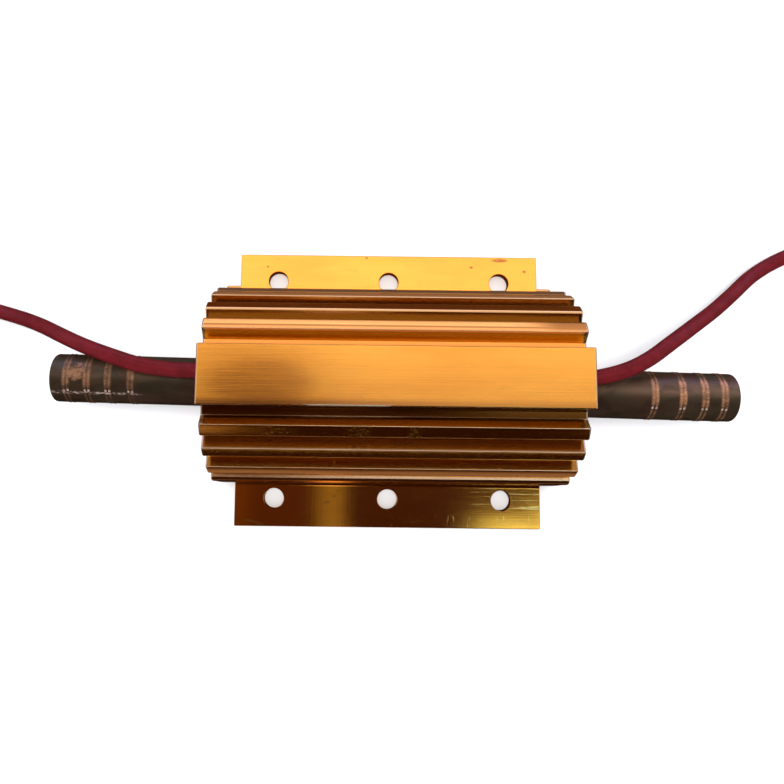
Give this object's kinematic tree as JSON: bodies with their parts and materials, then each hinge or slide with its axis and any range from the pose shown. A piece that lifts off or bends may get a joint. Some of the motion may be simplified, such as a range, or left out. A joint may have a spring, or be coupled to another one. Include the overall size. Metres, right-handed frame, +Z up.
{
  "type": "aluminium housed power resistor",
  "caption": "Finned gold-anodised aluminium housing on a drilled base flange, with a copper cooling pipe through the bore and a red silicone lead from each end.",
  "frame": {"origin": "centre of the underside of the base flange", "axes": "+X along the barrel and the pipe, +Y across the flange towards the side the leads lean to, +Z up out of the flange"},
  "size_m": [0.3242, 0.0822, 0.042],
  "materials": {
    "gold_anodised": "brushed, gold anodised",
    "oxidised_copper": "dark oxidised copper, worn bright on the beads",
    "white_ceramic": "unglazed",
    "resistance_alloy": "drawn wire",
    "cement": "matt",
    "seal_cement": "matt",
    "tinned_metal": "tinned",
    "red_silicone": "satin silicone rubber",
    "nylon": "natural nylon"
  },
  "bodies": {
    "root": {"housing": "gold_anodised", "cooling_pipe": "oxidised_copper", "ceramic_former": "white_ceramic", "resistance_winding": "resistance_alloy", "potting_cement": "cement", "end_seal_left": "seal_cement", "end_seal_right": "seal_cement", "crimp_left": "tinned_metal", "crimp_right": "tinned_metal", "lead_left": "red_silicone", "lead_right": "red_silicone", "lead_coil_left": "red_silicone", "lead_coil_right": "red_silicone", "coil_tie_left": "nylon", "coil_tie_right": "nylon", "stripped_end_left": "tinned_metal", "stripped_end_right": "tinned_metal"}
  },
  "joints": []
}
